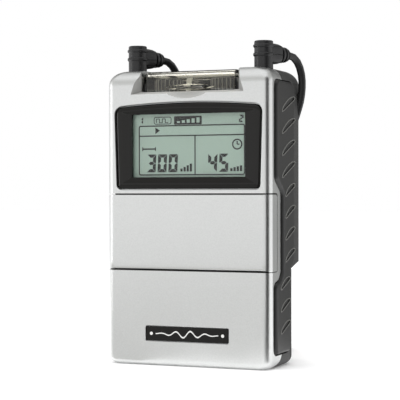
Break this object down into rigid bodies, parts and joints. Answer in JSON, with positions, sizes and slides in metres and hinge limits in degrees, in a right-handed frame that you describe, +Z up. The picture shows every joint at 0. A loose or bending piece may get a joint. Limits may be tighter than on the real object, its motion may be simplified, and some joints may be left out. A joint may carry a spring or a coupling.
{
  "type": "tens unit",
  "caption": "Pocket two-channel nerve stimulator with LCD, flip-down control door, knob cover, belt clip and two coiled electrode leads.",
  "frame": {"origin": "centre of the rectangle the unit stands on, belt clip included, at the level of its base", "axes": "+Z up along the unit, -Y out of the display face, +X to the right for someone facing the display"},
  "size_m": [0.0864, 0.0768, 0.1103],
  "materials": {
    "shell_silver": "silver metallic lacquer over moulded plastic, satin, fine flake",
    "shell_dark": "dark grey moulded plastic, fine spark texture",
    "grip_rubber": "charcoal soft-touch rubber, satin",
    "bezel_gloss": "black high-gloss plastic",
    "clear_lens": "clear hard-coated acrylic",
    "lcd_glass": "grey-green reflective liquid-crystal glass with dark segments",
    "white_plastic": "natural white plastic",
    "keypad_rubber": "grey silicone rubber",
    "key_plastic": "mid grey key plastic, satin",
    "cover_smoke": "smoke-amber clear polycarbonate",
    "black_plastic": "black moulded plastic, satin",
    "knob_plastic": "charcoal knob plastic with moulded ribs",
    "plug_plastic": "black overmoulded flexible plastic, satin",
    "nickel": "nickel-plated brass",
    "pcb": "green glass-epoxy board",
    "chip": "black epoxy and sleeve",
    "copper": "enamelled copper winding",
    "battery_jacket": "printed steel jacket, blue and grey",
    "steel": "zinc-plated steel",
    "cord_black": "black flexible PVC",
    "wire_red": "red PVC",
    "pin_red": "red insulated pin connector with nickel-plated tip",
    "pin_black": "black insulated pin connector with nickel-plated tip"
  },
  "bodies": {
    "root": {"battery": "battery_jacket", "battery_snap": "black_plastic", "battery_wire_black": "cord_black", "battery_wire_red": "wire_red", "capacitor": "chip", "case_screw_1": "steel", "case_screw_2": "steel", "case_screw_3": "steel", "case_screw_4": "steel", "clip_pin": "steel", "clip_spring": "steel", "cover_pin": "steel", "display_bezel": "bezel_gloss", "display_window": "clear_lens", "front_shell": "shell_silver", "jack_left": "black_plastic", "jack_right": "black_plastic", "keypad_membrane": "keypad_rubber", "knob_deck": "black_plastic", "label_plate": "bezel_gloss", "lcd_connector_strip": "keypad_rubber", "lcd_glass": "lcd_glass", "lcd_holder": "white_plastic", "lead_left_branch_a": "cord_black", "lead_left_branch_b": "cord_black", "lead_left_coil": "cord_black", "lead_left_cord": "cord_black", "lead_left_pin_a": "pin_red", "lead_left_pin_b": "pin_black", "lead_left_splitter": "plug_plastic", "lead_right_branch_a": "cord_black", "lead_right_branch_b": "cord_black", "lead_right_coil": "cord_black", "lead_right_cord": "cord_black", "lead_right_pin_a": "pin_red", "lead_right_pin_b": "pin_black", "lead_right_splitter": "plug_plastic", "main_pcb": "pcb", "microcontroller": "chip", "output_transformer_left": "copper", "output_transformer_right": "copper", "potentiometer_left": "pcb", "potentiometer_right": "pcb", "rear_shell": "shell_dark", "side_grip_left": "grip_rubber", "side_grip_right": "grip_rubber"},
    "control_door": {"control_door": "shell_silver"},
    "button_mode": {"button_mode": "key_plastic"},
    "button_set": {"button_set": "key_plastic"},
    "button_up": {"button_up": "key_plastic"},
    "button_down": {"button_down": "key_plastic"},
    "knob_cover": {"knob_cover": "cover_smoke"},
    "knob_left": {"knob_left": "knob_plastic"},
    "knob_right": {"knob_right": "knob_plastic"},
    "plug_left": {"plug_left_body": "plug_plastic", "plug_left_pin": "nickel"},
    "plug_right": {"plug_right_body": "plug_plastic", "plug_right_pin": "nickel"},
    "battery_door": {"battery_door": "shell_dark"},
    "belt_clip": {"belt_clip": "black_plastic"}
  },
  "joints": [
    {"name": "control_door_hinge", "type": "hinge", "parent": "root", "child": "control_door", "pos_m": [0, -0.0163, 0.03385], "axis": [1, 0, 0], "range_deg": [0, 100]},
    {"name": "knob_cover_hinge", "type": "hinge", "parent": "root", "child": "knob_cover", "pos_m": [0, -0.0009, 0.0993], "axis": [-1, 0, 0], "range_deg": [0, 92]},
    {"name": "knob_left_turn", "type": "hinge", "parent": "root", "child": "knob_left", "pos_m": [-0.0105, -0.0072, 0.095], "axis": [0, 0, -1], "range_deg": [0, 280]},
    {"name": "knob_right_turn", "type": "hinge", "parent": "root", "child": "knob_right", "pos_m": [0.0105, -0.0072, 0.095], "axis": [0, 0, -1], "range_deg": [0, 280]},
    {"name": "button_mode_press", "type": "slide", "parent": "root", "child": "button_mode", "axis": [0, 1, 0], "range_m": [0, 0.00035], "stiffness_N_per_m": 800},
    {"name": "button_set_press", "type": "slide", "parent": "root", "child": "button_set", "axis": [0, 1, 0], "range_m": [0, 0.00035], "stiffness_N_per_m": 800},
    {"name": "button_up_press", "type": "slide", "parent": "root", "child": "button_up", "axis": [0, 1, 0], "range_m": [0, 0.00035], "stiffness_N_per_m": 800},
    {"name": "button_down_press", "type": "slide", "parent": "root", "child": "button_down", "axis": [0, 1, 0], "range_m": [0, 0.00035], "stiffness_N_per_m": 800},
    {"name": "plug_left_pull", "type": "slide", "parent": "root", "child": "plug_left", "axis": [0, 0, 1], "range_m": [0, 0.015]},
    {"name": "plug_right_pull", "type": "slide", "parent": "root", "child": "plug_right", "axis": [0, 0, 1], "range_m": [0, 0.015]},
    {"name": "battery_door_slide", "type": "slide", "parent": "root", "child": "battery_door", "axis": [0, 0, -1], "range_m": [0, 0.034]},
    {"name": "belt_clip_hinge", "type": "hinge", "parent": "root", "child": "belt_clip", "pos_m": [0, 0.0137, 0.086], "axis": [1, 0, 0], "range_deg": [0, 15], "stiffness_Nm_per_rad": 0.3}
  ]
}
